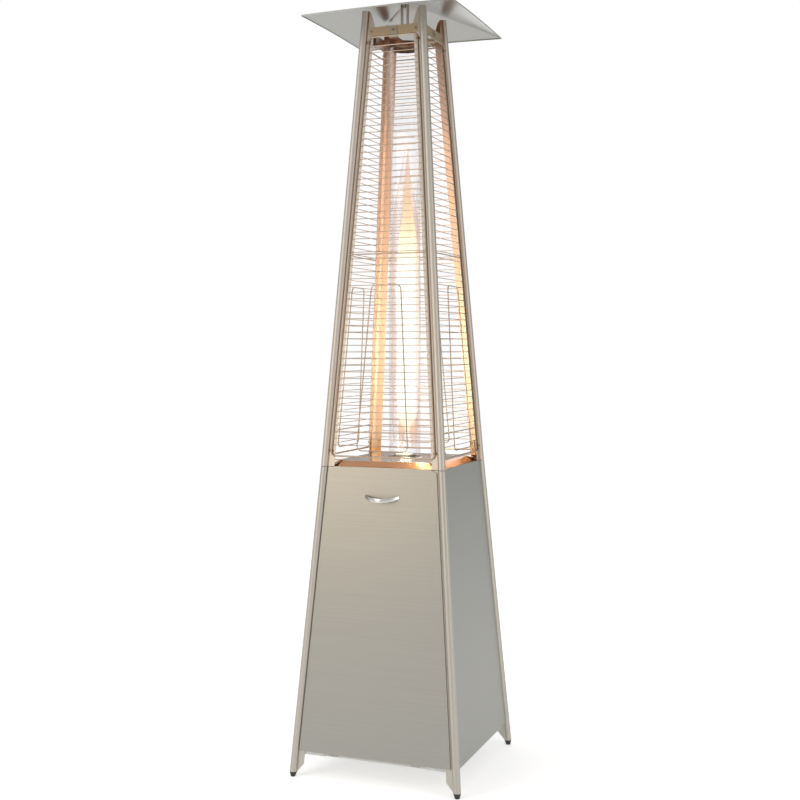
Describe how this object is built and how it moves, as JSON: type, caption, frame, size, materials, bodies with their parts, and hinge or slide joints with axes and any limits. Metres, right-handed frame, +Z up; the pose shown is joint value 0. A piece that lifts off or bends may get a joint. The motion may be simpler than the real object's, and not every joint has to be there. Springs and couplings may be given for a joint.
{
  "type": "outdoor heater",
  "caption": "Pyramid patio heater: panelled gas cabinet with a tilting door, glass flame tube, wire guards, square reflector.",
  "frame": {"origin": "on the floor at the centre of the four feet", "axes": "+Z up, -Y towards the door and its handle, +X to the right when facing the door"},
  "size_m": [0.5252, 0.5252, 2.27],
  "materials": {
    "stainless": "brushed satin",
    "brushed_panel": "brushed satin",
    "mirror_deck": "bright, reflective",
    "tinted_steel": "heat tinted straw",
    "zinc_steel": "plain",
    "wire": "bright wire",
    "glass": "clear quartz",
    "brass": "machined",
    "ceramic": "glazed ceramic",
    "black_plastic": "matte black"
  },
  "bodies": {
    "heater": {"leg_front_right": "stainless", "post_front_right": "stainless", "foot_front_right": "black_plastic", "bracket_front_right": "tinted_steel", "leg_rear_right": "stainless", "post_rear_right": "stainless", "foot_rear_right": "black_plastic", "bracket_rear_right": "tinted_steel", "leg_rear_left": "stainless", "post_rear_left": "stainless", "foot_rear_left": "black_plastic", "bracket_rear_left": "tinted_steel", "leg_front_left": "stainless", "post_front_left": "stainless", "foot_front_left": "black_plastic", "bracket_front_left": "tinted_steel", "guard_front": "wire", "guard_loop_front": "wire", "collar_band_front": "tinted_steel", "guard_right": "wire", "guard_loop_right": "wire", "collar_band_right": "tinted_steel", "guard_rear": "wire", "guard_loop_rear": "wire", "collar_band_rear": "tinted_steel", "guard_left": "wire", "guard_loop_left": "wire", "collar_band_left": "tinted_steel", "left_panel": "brushed_panel", "right_panel": "brushed_panel", "rear_panel": "brushed_panel", "reflector": "brushed_panel", "door_hinge_rod": "zinc_steel", "bottom_tray": "zinc_steel", "heat_shield": "zinc_steel", "control_box": "zinc_steel", "hanger_strap": "zinc_steel", "hanger_bolt": "zinc_steel", "glass_seat": "zinc_steel", "tube_holder": "zinc_steel", "burner_cup": "zinc_steel", "burner_head": "zinc_steel", "burner_screen": "zinc_steel", "burner_deck": "mirror_deck", "glass_tube": "glass", "burner_injector": "brass", "pilot_head": "brass", "thermocouple": "brass", "gas_valve": "brass", "gas_inlet": "brass", "gas_pipe": "brass", "pilot_pipe": "brass", "spark_electrode": "ceramic", "igniter_body": "black_plastic", "door_catch": "black_plastic"},
    "door": {"front_door": "brushed_panel", "door_handle": "brushed_panel"},
    "spindle": {"valve_spindle": "zinc_steel"},
    "knob": {"control_knob": "black_plastic"},
    "igniter": {"igniter_button": "black_plastic"}
  },
  "joints": [
    {"name": "door_tilt", "type": "hinge", "parent": "heater", "child": "door", "pos_m": [0, -0.24393, 0.07403], "axis": [1, 0, 0], "range_deg": [0, 50]},
    {"name": "valve_push", "type": "slide", "parent": "heater", "child": "spindle", "axis": [0, 1, 0], "range_m": [0, 0.004], "stiffness_N_per_m": 800},
    {"name": "knob_turn", "type": "hinge", "parent": "spindle", "child": "knob", "pos_m": [-0.03, -0.158, 0.849], "axis": [0, 1, 0], "range_deg": [0, 180]},
    {"name": "igniter_push", "type": "slide", "parent": "heater", "child": "igniter", "axis": [0, 1, 0], "range_m": [0, 0.005], "stiffness_N_per_m": 1200}
  ]
}
